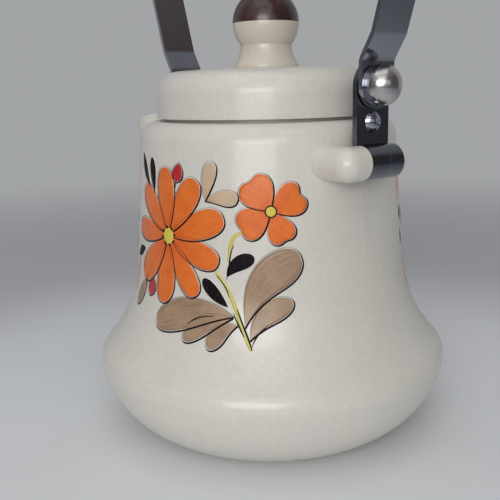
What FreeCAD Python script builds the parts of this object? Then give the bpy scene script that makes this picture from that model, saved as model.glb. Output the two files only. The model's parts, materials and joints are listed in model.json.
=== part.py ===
import FreeCAD, Part
import math
import os
import Sketcher

# Enamelled steel tea kettle. Millimetres, +Z up, origin at the centre of the flat underside.
# The spout points along -X and the bail (carrying handle) lies in the XZ plane.
# "rear" is the +X side, "front" is the spout side.

SIZES = {
    # Kettle body, all of them outside sizes
    "wall_gauge": 1.2,
    "cone_radius": 68.3,
    "cone_height": 150.0,
    "cone_taper": 4.2,
    "flare_radius": 75.0,
    "belly_radius": 95.5,
    "belly_height": 38.5,
    "belly_edge": 11.0,
    "under_radius": 49.0,
    "foot_radius": 66.5,
    "shoulder_round": 9.5,
    "shoulder_top": 165.3,
    "mouth_radius": 53.0,
    "mouth_top": 168.5,
    # Strainer holes behind the spout
    "strainer_height": 110.0,
    "strainer_hole": 2.4,
    "strainer_pitch": 7.0,
    # Spout, swept along an arc that leaves the wall low and ends almost upright
    "bow_centre_reach": 33.6,
    "bow_centre_height": 190.4,
    "bow_radius": 88.7,
    "bow_start": 20.0,
    "bow_step": 13.0,
    "spout_gauge": 1.2,
    "spout_root": 21.0,
    "spout_lower": 17.4,
    "spout_middle": 14.4,
    "spout_upper": 12.3,
    "spout_tip": 11.0,
    # Lid
    "lid_gauge": 1.0,
    "lid_radius": 58.4,
    "lid_bottom": 166.8,
    "lid_corner": 11.5,
    "lid_top": 191.6,
    "lid_slope": 2.8,
    "lid_land": 18.0,
    "plug_radius": 51.2,
    "plug_depth": 11.0,
    "flange_gauge": 1.0,
    # Knob
    "knob_radius": 17.3,
    "knob_middle": 213.8,
    "knob_foot": 17.2,
    "knob_foot_rise": 0.8,
    "knob_waist_drop": 11.0,
    "knob_neck_sweep": 18.0,
    "spigot_radius": 8.0,
    "spigot_depth": 7.8,
    "spigot_fit": 0.05,
    "spigot_gap": 0.2,
    "knob_screw_radius": 2.5,
    "knob_screw_reach": 219.0,
    "knob_screw_room": 1.0,
    "knob_screw_head": 4.6,
    "knob_screw_head_rise": 3.0,
    "knob_washer_radius": 7.0,
    "knob_washer_gauge": 1.0,
    # Lugs that carry the bail
    "lug_reach": 77.5,
    "lug_height": 146.7,
    "lug_radius": 8.0,
    "lug_leg": 18.5,
    "lug_tip": 12.6,
    "lug_tip_round": 1.7,
    "weld_radius": 9.0,
    "weld_root": 62.0,
    "weld_reach": 68.0,
    "seat_radius": 6.6,
    "seat_fit": 0.05,
    "seat_side": 0.2,
    "seat_cut_margin": 1.0,
    # Strap clips wrapped round the lugs
    "strap_width": 21.0,
    "clip_gauge": 1.3,
    "clip_gap": 0.1,
    "plate_inset": 3.5,
    "plate_root": 6.3,
    "clip_screw_gap": 0.8,
    "clip_screw_tail": 0.9,
    "clip_screw_radius": 2.0,
    "clip_screw_head": 5.0,
    "clip_screw_head_rise": 2.6,
    "clip_screw_crown": 6.5,
    "clip_screw_dimple": 1.9,
    "clip_nut_radius": 4.0,
    "clip_nut_gauge": 3.2,
    "fixed_fit": 0.05,
    # Bail pivots
    "pivot_height": 181.0,
    "pivot_radius": 3.0,
    "pivot_fit": 0.08,
    "side_play": 0.08,
    "spacer_gauge": 0.6,
    "spacer_radius": 8.5,
    "washer_radius": 9.0,
    "washer_gauge": 1.3,
    "spring_radius": 8.4,
    "bolt_head_radius": 6.0,
    "bolt_head_gauge": 3.0,
    "bolt_reach": 5.0,
    "dome_radius": 9.0,
    "dome_rim": 0.8,
    "dome_rise": 7.2,
    "dome_bore": 5.6,
    # Bail arms and grip
    "arm_gauge": 2.2,
    "joggle_low": 192.0,
    "joggle_high": 203.0,
    "joggle_reach": 84.0,
    "joggle_bend": 6.0,
    "bail_corner_reach": 108.2,
    "bail_bend": 36.0,
    "grip_height": 281.0,
    "arm_end": 18.0,
    "grip_half": 48.0,
    "grip_width": 30.0,
    "grip_crown": 11.5,
    "grip_fit": 0.1,
    "grip_round": 3.0,
    "grip_screw_reach": 33.0,
    "grip_screw_radius": 2.0,
    "grip_screw_head": 4.2,
    "grip_screw_head_rise": 2.4,
    "grip_screw_grip": 6.0,
    "grip_screw_sink": 1.0,
    "grip_screw_room": 0.5,
}

doc = FreeCAD.newDocument("kettle")
sheet = doc.addObject("Spreadsheet::Sheet", "Sizes")
for row, (alias, number) in enumerate(SIZES.items(), start=1):
    sheet.set("A%d" % row, alias)
    sheet.set("B%d" % row, str(number))
    sheet.setAlias("B%d" % row, alias)
doc.recompute()

ORIGIN_POINT = (-1, 1)
AXIS_Z = FreeCAD.Vector(0, 0, 1)
NODES = []


class Size:
    """A length carried twice: its number and the spreadsheet formula that drives it."""

    def __init__(self, number, formula):
        self.number = float(number)
        self.formula = formula

    def __add__(self, other):
        other = as_size(other)
        return Size(self.number + other.number, "%s + %s" % (self.formula, other.formula))

    def __sub__(self, other):
        other = as_size(other)
        return Size(self.number - other.number, "%s - (%s)" % (self.formula, other.formula))

    def __mul__(self, other):
        other = as_size(other)
        return Size(self.number * other.number, "(%s) * (%s)" % (self.formula, other.formula))

    def __truediv__(self, other):
        other = as_size(other)
        return Size(self.number / other.number, "(%s) / (%s)" % (self.formula, other.formula))


def as_size(value):
    """Wrap a bare number so that it can join a formula."""
    return value if isinstance(value, Size) else Size(value, repr(value))


def size(alias):
    """The named size from the spreadsheet."""
    return Size(SIZES[alias], "Sizes.%s" % alias)


def sine(angle):
    return Size(math.sin(math.radians(angle.number)), "sin(%s)" % as_degrees(angle))


def cosine(angle):
    return Size(math.cos(math.radians(angle.number)), "cos(%s)" % as_degrees(angle))


def as_degrees(angle):
    return "(%s) * 1 deg" % angle.formula


def vector(x, y):
    return FreeCAD.Vector(x, y, 0)


def new_body(label):
    body = doc.addObject("PartDesign::Body", label)
    body.Label = label
    return body


def new_sketch(body, plane_role, offset=None):
    """A sketch on one of the body's own base planes, lifted off it by an optional offset."""
    sketch = body.newObject("Sketcher::SketchObject", body.Name + "_sketch")
    plane = [item for item in body.Origin.OriginFeatures if item.Role == plane_role][0]
    sketch.AttachmentSupport = [(plane, "")]
    sketch.MapMode = "FlatFace"
    if offset is not None:
        sketch.setExpression("AttachmentOffset.Base.z", offset.formula)
    return sketch


def end_at(sketch, index, point):
    """Which end (1 or 2) of a piece of sketch geometry lies at the point."""
    gaps = [sketch.getPoint(index, end).distanceToPoint(point) for end in (1, 2)]
    return 1 if gaps[0] < gaps[1] else 2


def bind(sketch, kind, *arguments):
    """Add a dimension whose last argument is a Size and let the spreadsheet drive it."""
    value = arguments[-1]
    number = value.number
    formula = value.formula
    if kind == "Angle":
        number = math.radians(number)
        formula = as_degrees(value)
    index = sketch.addConstraint(Sketcher.Constraint(kind, *arguments[:-1], number))
    sketch.setExpression("Constraints[%d]" % index, formula)


def fix_point(sketch, index, end, x, y):
    """Place a sketch point; a coordinate of None puts it on that axis."""
    for kind, axis, value in (("DistanceX", -2, x), ("DistanceY", -1, y)):
        if value is None:
            sketch.addConstraint(Sketcher.Constraint("PointOnObject", index, end, axis))
        elif value.number < 0:
            bind(sketch, kind, index, end, *ORIGIN_POINT, value * -1.0)
        else:
            bind(sketch, kind, *ORIGIN_POINT, index, end, value)


def draw_chain(sketch, pieces, joints, closed=True):
    """Draw pieces end to end; joints holds each piece's meeting point and the kind of join."""
    first = sketch.GeometryCount
    for piece in pieces:
        sketch.addGeometry(piece, False)
    count = len(pieces) if closed else len(pieces) - 1
    for step in range(count):
        one = first + step
        two = first + (step + 1) % len(pieces)
        point, smooth = joints[step]
        kind = "Tangent" if smooth else "Coincident"
        ends = (one, end_at(sketch, one, point), two, end_at(sketch, two, point))
        sketch.addConstraint(Sketcher.Constraint(kind, *ends))
    return first


def draw_outline(sketch, corners):
    """Closed outline; a corner is (x, y) or (x, y, radius, bulge side) for an arc leaving it."""
    spots = [vector(c[0].number if c[0] else 0, c[1].number if c[1] else 0) for c in corners]
    pieces = []
    for step, corner in enumerate(corners):
        here = spots[step]
        there = spots[(step + 1) % len(corners)]
        if len(corner) == 2:
            pieces.append(Part.LineSegment(here, there))
            continue
        chord = there - here
        side = vector(-chord.y, chord.x).normalize() * corner[3]
        radius = corner[2].number
        depth = radius - math.sqrt(radius ** 2 - (chord.Length / 2) ** 2)
        middle = here + chord / 2 + side * depth
        pieces.append(Part.Arc(here, middle, there))
    joints = [(spots[(step + 1) % len(spots)], False) for step in range(len(spots))]
    first = draw_chain(sketch, pieces, joints)
    for step, corner in enumerate(corners):
        index = first + step
        fix_point(sketch, index, end_at(sketch, index, spots[step]), corner[0], corner[1])
        if len(corner) > 2:
            bind(sketch, "Radius", index, corner[2])


def draw_circle(sketch, x, y, radius):
    centre = vector(x.number if x else 0, y.number if y else 0)
    index = sketch.addGeometry(Part.Circle(centre, AXIS_Z, radius.number), False)
    fix_point(sketch, index, 3, x, y)
    bind(sketch, "Radius", index, radius)


def revolve(body, sketch, kind="PartDesign::Revolution"):
    """Turn a sketch right round the upright axis of its plane."""
    feature = body.newObject(kind, body.Name + "_turned")
    feature.Profile = sketch
    feature.ReferenceAxis = (sketch, ["V_Axis"])
    feature.Angle = 360
    doc.recompute()
    return feature


def extrude(body, sketch, length, both_ways=False):
    feature = body.newObject("PartDesign::Pad", body.Name + "_pad")
    feature.Profile = sketch
    feature.Midplane = both_ways
    feature.setExpression("Length", length.formula)
    doc.recompute()
    return feature


def pocket(body, sketch, length, both_ways=False):
    """Cut a sketch into the body, turning the cut round if it found nothing to remove."""
    before = body.Shape.Volume
    feature = body.newObject("PartDesign::Pocket", body.Name + "_pocket")
    feature.Profile = sketch
    feature.Midplane = both_ways
    feature.setExpression("Length", length.formula)
    doc.recompute()
    if not feature.Shape.isValid() or before - body.Shape.Volume < 1e-3:
        feature.Reversed = True
        doc.recompute()
    return feature


def place(thing, x, z, turn, tilt):
    """Stand a piece at reach x and height z, tilted about Y, then turned about Z."""
    spin = FreeCAD.Rotation(AXIS_Z, turn) * FreeCAD.Rotation(FreeCAD.Vector(0, 1, 0), tilt)
    thing.Placement = FreeCAD.Placement(FreeCAD.Vector(0, 0, 0), spin)
    if x is not None:
        sign = "-1 * " if turn else ""
        thing.setExpression("Placement.Base.x", "%s(%s) * 1 mm" % (sign, x.formula))
    if z is not None:
        thing.setExpression("Placement.Base.z", "(%s) * 1 mm" % z.formula)
    doc.recompute()


def keep(thing, name):
    """Mark a finished piece for export under its own name."""
    thing.Label = name
    NODES.append((name, thing))


def primitive(kind, name, formulas):
    """A plain solid whose properties and place follow formulas."""
    solid = doc.addObject(kind, name)
    for path, value in formulas.items():
        unit = " * 1 mm" if path.startswith("Placement") else ""
        solid.setExpression(path, "(%s)%s" % (value.formula, unit))
    return solid


def turned_piece(name, corners, x=None, z=None, turn=0, tilt=0):
    """A piece turned on a lathe from a closed half outline."""
    body = new_body(name)
    sketch = new_sketch(body, "XZ_Plane")
    draw_outline(sketch, corners)
    revolve(body, sketch)
    place(body, x, z, turn, tilt)
    keep(body, name)
    return body


def ring_piece(name, inner, outer, gauge, x=None, z=None, turn=0, tilt=0):
    """A flat washer."""
    body = new_body(name)
    sketch = new_sketch(body, "XY_Plane")
    draw_circle(sketch, None, None, outer)
    draw_circle(sketch, None, None, inner)
    extrude(body, sketch, gauge)
    place(body, x, z, turn, tilt)
    keep(body, name)
    return body


def circle_meeting(one, one_radius, two, two_radius, outer):
    """Where two circles meet: the crossing with the larger or the smaller x."""
    span = two - one
    along = (one_radius ** 2 - two_radius ** 2 + span.Length ** 2) / (2 * span.Length)
    across = math.sqrt(one_radius ** 2 - along ** 2)
    unit = vector(span.x, span.y).normalize()
    spots = [one + unit * along + vector(-unit.y, unit.x) * across * sign for sign in (1, -1)]
    spots.sort(key=lambda spot: spot.x)
    return spots[-1] if outer else spots[0]


def arc_between(centre, start, finish):
    """The short arc round a centre from one point to another."""
    radius = centre.distanceToPoint(start)
    lean = (start - centre).normalize() + (finish - centre).normalize()
    return Part.Arc(start, centre + lean.normalize() * radius, finish)


def body_outline(sketch, inset):
    """Half outline of the body from the belly up: edge, flare, cone, shoulder and mouth."""
    taper = size("cone_taper")
    down = vector(math.sin(math.radians(taper.number)), -math.cos(math.radians(taper.number)))
    out = vector(-down.y, down.x)
    height = SIZES["cone_height"]
    spot_reach = size("cone_radius") - inset / cosine(taper)
    on_cone = vector(spot_reach.number, height)
    top = size("shoulder_top") - inset
    turn_radius = size("shoulder_round") - inset
    turn_height = SIZES["shoulder_top"] - SIZES["shoulder_round"]
    turn_reach = (out.dot(on_cone) - turn_radius.number - out.y * turn_height) / out.x
    turn_centre = vector(turn_reach, turn_height)
    cone_top = turn_centre + out * turn_radius.number
    shoulder = vector(turn_reach, top.number)
    edge_radius = size("belly_edge") - inset
    edge_centre_reach = size("belly_radius") - size("belly_edge")
    edge_centre = vector(edge_centre_reach.number, SIZES["belly_height"])
    flare_radius = size("flare_radius") + inset
    foot = on_cone + out * flare_radius.number
    reach = flare_radius.number + edge_radius.number
    offset = edge_centre - foot
    along = offset.dot(down)
    slide = along - math.sqrt(along ** 2 - offset.Length ** 2 + reach ** 2)
    flare_centre = foot + down * slide
    cone_foot = flare_centre - out * flare_radius.number
    flare_foot = edge_centre + (flare_centre - edge_centre).normalize() * edge_radius.number
    rim = size("mouth_radius") - inset
    corners = [
        vector(0, SIZES["mouth_top"]),
        vector(rim.number, SIZES["mouth_top"]),
        vector(rim.number, top.number),
        shoulder,
        cone_top,
        cone_foot,
        flare_foot,
        vector(edge_centre.x + edge_radius.number, edge_centre.y),
        vector(0, edge_centre.y),
    ]
    pieces = [
        Part.LineSegment(corners[0], corners[1]),
        Part.LineSegment(corners[1], corners[2]),
        Part.LineSegment(corners[2], corners[3]),
        arc_between(turn_centre, corners[3], corners[4]),
        Part.LineSegment(corners[4], corners[5]),
        arc_between(flare_centre, corners[5], corners[6]),
        arc_between(edge_centre, corners[6], corners[7]),
        Part.LineSegment(corners[7], corners[8]),
        Part.LineSegment(corners[8], corners[0]),
    ]
    smooth = (False, False, True, True, True, True, False, False, False)
    joints = [(corners[(step + 1) % len(corners)], smooth[step]) for step in range(len(corners))]
    draw_chain(sketch, pieces, joints)
    for index in (0, 2, 7):
        sketch.addConstraint(Sketcher.Constraint("Horizontal", index))
    sketch.addConstraint(Sketcher.Constraint("Vertical", 1))
    fix_point(sketch, 0, 1, None, size("mouth_top"))
    fix_point(sketch, 7, 2, None, size("belly_height"))
    bind(sketch, "DistanceX", *ORIGIN_POINT, 1, 1, rim)
    bind(sketch, "DistanceY", *ORIGIN_POINT, 2, 1, top)
    bind(sketch, "Radius", 3, turn_radius)
    bind(sketch, "Radius", 5, flare_radius)
    bind(sketch, "Radius", 6, edge_radius)
    fix_point(sketch, 6, 3, edge_centre_reach, size("belly_height"))
    spot = sketch.addGeometry(Part.Point(on_cone), True)
    fix_point(sketch, spot, 1, spot_reach, size("cone_height"))
    sketch.addConstraint(Sketcher.Constraint("PointOnObject", spot, 1, 4))
    bind(sketch, "Angle", 8, 2, 4, 1, taper)


def pan_outline(sketch, inset, floor):
    """Half outline of the base pan: belly edge, rounded underside and flat floor."""
    edge_radius = size("belly_edge") - inset
    edge_reach = size("belly_radius") - size("belly_edge")
    edge_centre = vector(edge_reach.number, SIZES["belly_height"])
    under_radius = size("under_radius") - inset
    foot = vector(SIZES["foot_radius"], 0)
    apart = SIZES["under_radius"] - SIZES["belly_edge"]
    under_centre = circle_meeting(edge_centre, apart, foot, SIZES["under_radius"], False)
    turn = edge_centre + (edge_centre - under_centre).normalize() * edge_radius.number
    drop = under_centre.y - floor.number
    floor_reach = under_centre.x + math.sqrt(under_radius.number ** 2 - drop ** 2)
    corners = [
        vector(0, edge_centre.y),
        vector(edge_centre.x + edge_radius.number, edge_centre.y),
        turn,
        vector(floor_reach, floor.number),
        vector(0, floor.number),
    ]
    pieces = [
        Part.LineSegment(corners[0], corners[1]),
        arc_between(edge_centre, corners[1], corners[2]),
        arc_between(under_centre, corners[2], corners[3]),
        Part.LineSegment(corners[3], corners[4]),
        Part.LineSegment(corners[4], corners[0]),
    ]
    joints = [(corners[(step + 1) % 5], step == 1) for step in range(5)]
    draw_chain(sketch, pieces, joints)
    for index in (0, 3):
        sketch.addConstraint(Sketcher.Constraint("Horizontal", index))
    fix_point(sketch, 0, 1, None, size("belly_height"))
    fix_point(sketch, 1, 3, edge_reach, size("belly_height"))
    bind(sketch, "Radius", 1, edge_radius)
    bind(sketch, "Radius", 2, under_radius)
    if inset.number:
        fix_point(sketch, 3, 2, None, floor)
    else:
        fix_point(sketch, 3, 2, None, None)
    outer_foot = sketch.addGeometry(Part.Point(foot), True)
    fix_point(sketch, outer_foot, 1, size("foot_radius"), None)
    rail = sketch.addGeometry(Part.LineSegment(under_centre, foot), True)
    sketch.addConstraint(Sketcher.Constraint("Coincident", rail, 1, 2, 3))
    sketch.addConstraint(Sketcher.Constraint("Coincident", rail, 2, outer_foot, 1))
    bind(sketch, "Distance", rail, size("under_radius"))


def lid_outline(sketch, inset):
    """Half outline of the lid: flat land, shallow cone, rounded corner and upright skirt."""
    slope = size("lid_slope")
    lean = math.radians(slope.number)
    top = size("lid_top") - inset
    side = size("lid_radius") - inset
    corner = size("lid_corner") - inset
    land = size("lid_land") - inset * sine(slope)
    start = vector(land.number, top.number)
    along = vector(math.cos(lean), -math.sin(lean))
    up = vector(math.sin(lean), math.cos(lean))
    centre_reach = side.number - corner.number
    line_offset = up.dot(start) - corner.number
    centre = vector(centre_reach, (line_offset - up.x * centre_reach) / up.y)
    points = [
        vector(0, top.number),
        start,
        centre + up * corner.number,
        vector(side.number, centre.y),
        vector(side.number, SIZES["lid_bottom"]),
        vector(0, SIZES["lid_bottom"]),
    ]
    pieces = [
        Part.LineSegment(points[0], points[1]),
        Part.LineSegment(points[1], points[2]),
        arc_between(centre, points[2], points[3]),
        Part.LineSegment(points[3], points[4]),
        Part.LineSegment(points[4], points[5]),
        Part.LineSegment(points[5], points[0]),
    ]
    joints = [(points[(step + 1) % 6], step in (1, 2)) for step in range(6)]
    draw_chain(sketch, pieces, joints)
    sketch.addConstraint(Sketcher.Constraint("Vertical", 3))
    fix_point(sketch, 0, 1, None, top)
    fix_point(sketch, 1, 1, land, top)
    fix_point(sketch, 3, 2, side, size("lid_bottom"))
    fix_point(sketch, 4, 2, None, size("lid_bottom"))
    bind(sketch, "Radius", 2, corner)
    bind(sketch, "Angle", 0, 2, 1, 1, Size(180 - slope.number, "180 - Sizes.lid_slope"))


# ---------------------------------------------------------------- body, base and spout
gauge = size("wall_gauge")
no_inset = Size(0, "0")
hollow = new_body("body_shell")
outside = new_sketch(hollow, "XZ_Plane")
body_outline(outside, no_inset)
revolve(hollow, outside)
inside = new_sketch(hollow, "XZ_Plane")
body_outline(inside, gauge)
revolve(hollow, inside, "PartDesign::Groove")

pitch = size("strainer_pitch")
lattice_lean = Size(30, "30")
column = pitch * cosine(lattice_lean)
holes = new_sketch(hollow, "YZ_Plane")
for file in (-2.0, -1.0, 0.0, 1.0, 2.0):
    across = column * file if file else None
    count = 5 - int(abs(file))
    for rank in range(count):
        level = pitch * (rank - (count - 1) / 2)
        draw_circle(holes, across, size("strainer_height") + level, size("strainer_hole"))
strainer = hollow.newObject("PartDesign::Pocket", "strainer_holes")
strainer.Profile = holes
strainer.setExpression("Length", "Sizes.belly_radius")
doc.recompute()
if strainer.AddSubShape.BoundBox.Center.x > 0:
    strainer.Reversed = True
    doc.recompute()
keep(hollow, "body_shell")

pan = new_body("base_pan")
pan_outside = new_sketch(pan, "XZ_Plane")
pan_outline(pan_outside, no_inset, no_inset)
revolve(pan, pan_outside)
pan_inside = new_sketch(pan, "XZ_Plane")
pan_outline(pan_inside, gauge, gauge)
revolve(pan, pan_inside, "PartDesign::Groove")
keep(pan, "base_pan")


def body_core(name):
    """The solid outside shape of the body, used to trim what is welded on to it."""
    core = new_body(name)
    sketch = new_sketch(core, "XZ_Plane")
    body_outline(sketch, no_inset)
    revolve(core, sketch)
    return core


STATIONS = ("spout_root", "spout_lower", "spout_middle", "spout_upper", "spout_tip")


def spout_sections(body, inset):
    """Circles square to the bow at equal angles along it."""
    sections = []
    for step, alias in enumerate(STATIONS):
        angle = size("bow_start") + size("bow_step") * step
        sketch = new_sketch(body, "XY_Plane")
        draw_circle(sketch, None, None, size(alias) - inset)
        reach = size("bow_centre_reach") + size("bow_radius") * sine(angle)
        height = size("bow_centre_height") - size("bow_radius") * cosine(angle)
        turn = FreeCAD.Rotation(FreeCAD.Vector(0, 1, 0), 90 - angle.number)
        sketch.AttachmentOffset = FreeCAD.Placement(FreeCAD.Vector(0, 0, 0), turn)
        sketch.setExpression("AttachmentOffset.Base.x", "(%s) * 1 mm" % reach.formula)
        sketch.setExpression("AttachmentOffset.Base.z", "(%s) * 1 mm" % height.formula)
        sketch.setExpression("AttachmentOffset.Rotation.Angle", "(90 - (%s)) * 1 deg" % angle.formula)
        sections.append(sketch)
    doc.recompute()
    return sections


tube = new_body("spout_tube")
for kind, inset in (("Additive", no_inset), ("Subtractive", size("spout_gauge"))):
    rings = spout_sections(tube, inset)
    loft = tube.newObject("PartDesign::%sLoft" % kind, "spout_%s" % kind.lower())
    loft.Profile = rings[0]
    loft.Sections = rings[1:]
    doc.recompute()
place(tube, None, None, 180, 0)
spout = doc.addObject("Part::Cut", "spout_cut")
spout.Base = tube
spout.Tool = body_core("spout_core")
doc.recompute()
keep(spout, "spout")

# ---------------------------------------------------------------- lid and knob
lid = new_body("lid_shell")
lid_outside = new_sketch(lid, "XZ_Plane")
lid_outline(lid_outside, no_inset)
revolve(lid, lid_outside)
lid_inside = new_sketch(lid, "XZ_Plane")
lid_outline(lid_inside, size("lid_gauge"))
revolve(lid, lid_inside, "PartDesign::Groove")
lid_hole = new_sketch(lid, "XY_Plane", size("lid_bottom"))
draw_circle(lid_hole, None, None, size("knob_screw_radius") + size("fixed_fit"))
pocket(lid, lid_hole, size("lid_top"))
keep(lid, "lid_shell")

seat = size("mouth_top")
flange_top = seat + size("flange_gauge")
plug_inner = size("plug_radius") - size("flange_gauge")
flange_rim = size("lid_radius") - size("lid_gauge")
plug_foot = seat - size("plug_depth")
turned_piece(
    "lid_flange",
    [
        (plug_inner, plug_foot),
        (size("plug_radius"), plug_foot),
        (size("plug_radius"), seat),
        (flange_rim, seat),
        (flange_rim, flange_top),
        (plug_inner, flange_top),
    ],
)

middle = size("knob_middle")
waist_height = middle - size("knob_waist_drop")
waist_number = math.sqrt(SIZES["knob_radius"] ** 2 - SIZES["knob_waist_drop"] ** 2)
waist = Size(waist_number, "sqrt(Sizes.knob_radius ^ 2 - Sizes.knob_waist_drop ^ 2)")
socket = size("spigot_radius") + size("spigot_fit")
socket_floor = middle - size("spigot_depth") - size("spigot_gap")
screw_hole = size("knob_screw_radius") + size("fixed_fit")
turned_piece(
    "knob_neck",
    [
        (screw_hole, size("lid_top")),
        (size("knob_foot"), size("lid_top")),
        (size("knob_foot"), size("lid_top") + size("knob_foot_rise"), size("knob_neck_sweep"), 1),
        (waist, waist_height, size("knob_radius"), -1),
        (size("knob_radius"), middle),
        (socket, middle),
        (socket, socket_floor),
        (screw_hole, socket_floor),
    ],
)
cap_bore_top = size("knob_screw_reach") + size("knob_screw_room")
turned_piece(
    "knob_cap",
    [
        (screw_hole, middle - size("spigot_depth")),
        (size("spigot_radius"), middle - size("spigot_depth")),
        (size("spigot_radius"), middle),
        (size("knob_radius"), middle, size("knob_radius"), -1),
        (None, middle + size("knob_radius")),
        (None, cap_bore_top),
        (screw_hole, cap_bore_top),
    ],
)
under_lid = size("lid_top") - size("lid_gauge")
head_top = under_lid - size("knob_washer_gauge")
turned_piece(
    "knob_screw",
    [
        (None, head_top - size("knob_screw_head_rise")),
        (size("knob_screw_head"), head_top - size("knob_screw_head_rise")),
        (size("knob_screw_head"), head_top),
        (size("knob_screw_radius"), head_top),
        (size("knob_screw_radius"), size("knob_screw_reach")),
        (None, size("knob_screw_reach")),
    ],
)
washer_gauge = size("knob_washer_gauge")
ring_piece("knob_washer", screw_hole, size("knob_washer_radius"), washer_gauge, z=head_top)

# ---------------------------------------------------------------- lugs, clips and pivots
width = size("strap_width")
half_width = width / 2
sheet_gauge = size("clip_gauge")
plate_middle = size("lug_reach") - size("plate_inset")
plate_inner = plate_middle - size("clip_gap") / 2 - sheet_gauge
plate_outer = plate_middle + size("clip_gap") / 2 + sheet_gauge
arm_inner = plate_outer + size("spacer_gauge") + size("side_play")
arm_outer = arm_inner + size("arm_gauge")
stack_foot = arm_outer + size("side_play")
clip_screw_drop = half_width + size("clip_screw_head") + size("clip_screw_gap")
clip_screw_height = size("pivot_height") - clip_screw_drop
SIDES = (("rear", 0), ("front", 180))


def add_lug(side, turn):
    """L-shaped bar: one leg runs into the wall, the free end is rounded, a seat takes the clip."""
    bar_length = size("lug_leg") + size("lug_tip")
    leg = size("lug_leg") * -1.0
    across = {"Placement.Base.x": size("lug_reach"), "Placement.Base.z": size("lug_height")}
    bar = primitive("Part::Cylinder", side + "_bar", {
        "Radius": size("lug_radius"), "Height": bar_length, "Placement.Base.y": leg, **across})
    bar.Placement.Rotation = FreeCAD.Rotation(FreeCAD.Vector(1, 0, 0), -90)
    corner = primitive("Part::Sphere", side + "_corner", {
        "Radius": size("lug_radius"), "Placement.Base.y": leg, **across})
    shank = primitive("Part::Cylinder", side + "_shank", {
        "Radius": size("lug_radius"), "Height": size("lug_reach"),
        "Placement.Base.y": leg, "Placement.Base.z": size("lug_height")})
    shank.Placement.Rotation = FreeCAD.Rotation(FreeCAD.Vector(0, 1, 0), 90)
    weld = primitive("Part::Cone", side + "_weld", {
        "Radius1": size("weld_radius"), "Radius2": size("lug_radius"),
        "Height": size("weld_reach") - size("weld_root"), "Placement.Base.x": size("weld_root"),
        "Placement.Base.y": leg, "Placement.Base.z": size("lug_height")})
    weld.Placement.Rotation = FreeCAD.Rotation(FreeCAD.Vector(0, 1, 0), 90)
    doc.recompute()
    joined = doc.addObject("Part::MultiFuse", side + "_joined")
    joined.Shapes = [bar, corner, shank, weld]
    doc.recompute()
    groove_length = width + size("seat_side") * 2.0
    groove_start = (groove_length / 2) * -1.0
    outer = primitive("Part::Cylinder", side + "_groove_outer", {
        "Radius": size("lug_radius") + size("seat_cut_margin"), "Height": groove_length,
        "Placement.Base.y": groove_start, **across})
    inner = primitive("Part::Cylinder", side + "_groove_inner", {
        "Radius": size("seat_radius"), "Height": groove_length,
        "Placement.Base.y": groove_start, **across})
    for tool in (outer, inner):
        tool.Placement.Rotation = FreeCAD.Rotation(FreeCAD.Vector(1, 0, 0), -90)
    groove = doc.addObject("Part::Cut", side + "_groove")
    groove.Base = outer
    groove.Tool = inner
    seated = doc.addObject("Part::Cut", side + "_seated")
    seated.Base = joined
    seated.Tool = groove
    doc.recompute()
    tip = SIZES["lug_tip"]
    rim = [
        index for index, edge in enumerate(seated.Shape.Edges, start=1)
        if abs(edge.BoundBox.YMin - tip) < 1e-4 and abs(edge.BoundBox.YMax - tip) < 1e-4
    ]
    rounded = doc.addObject("Part::Fillet", side + "_rounded")
    rounded.Base = seated
    rounded.Edges = [(index, SIZES["lug_tip_round"], SIZES["lug_tip_round"]) for index in rim]
    doc.recompute()
    lug = doc.addObject("Part::Cut", side + "_lug_cut")
    lug.Base = rounded
    lug.Tool = body_core(side + "_core")
    place(lug, None, None, turn, 0)
    keep(lug, side + "_lug")


def add_clip(side, turn):
    """Strap wrapped right round the lug, both ends standing up together to take the bolt."""
    clip = new_body(side + "_clip")
    wrap = new_sketch(clip, "XZ_Plane")
    bore = size("seat_radius") + size("seat_fit")
    draw_circle(wrap, size("lug_reach"), size("lug_height"), bore + sheet_gauge)
    draw_circle(wrap, size("lug_reach"), size("lug_height"), bore)
    extrude(clip, wrap, width, True)
    root = size("lug_height") + size("plate_root")
    plates = new_sketch(clip, "XZ_Plane")
    draw_outline(plates, [
        (plate_inner, root), (plate_outer, root),
        (plate_outer, size("pivot_height")), (plate_inner, size("pivot_height")),
    ])
    extrude(clip, plates, width, True)
    crown = new_sketch(clip, "YZ_Plane", plate_inner)
    draw_circle(crown, None, size("pivot_height"), half_width)
    extrude(clip, crown, plate_outer - plate_inner)
    slit = new_sketch(clip, "XZ_Plane")
    slit_top = size("pivot_height") + width
    slit_low = size("lug_height") + size("seat_radius") / 2
    left = plate_middle - size("clip_gap") / 2
    right = plate_middle + size("clip_gap") / 2
    draw_outline(slit, [(left, slit_low), (right, slit_low), (right, slit_top), (left, slit_top)])
    pocket(clip, slit, width * 2.0, True)
    holes = new_sketch(clip, "YZ_Plane")
    draw_circle(holes, None, size("pivot_height"), size("pivot_radius") + size("fixed_fit"))
    draw_circle(holes, None, clip_screw_height, size("clip_screw_radius") + size("fixed_fit"))
    pocket(clip, holes, size("belly_radius") * 2.0)
    place(clip, None, None, turn, 0)
    keep(clip, side + "_clip")


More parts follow.
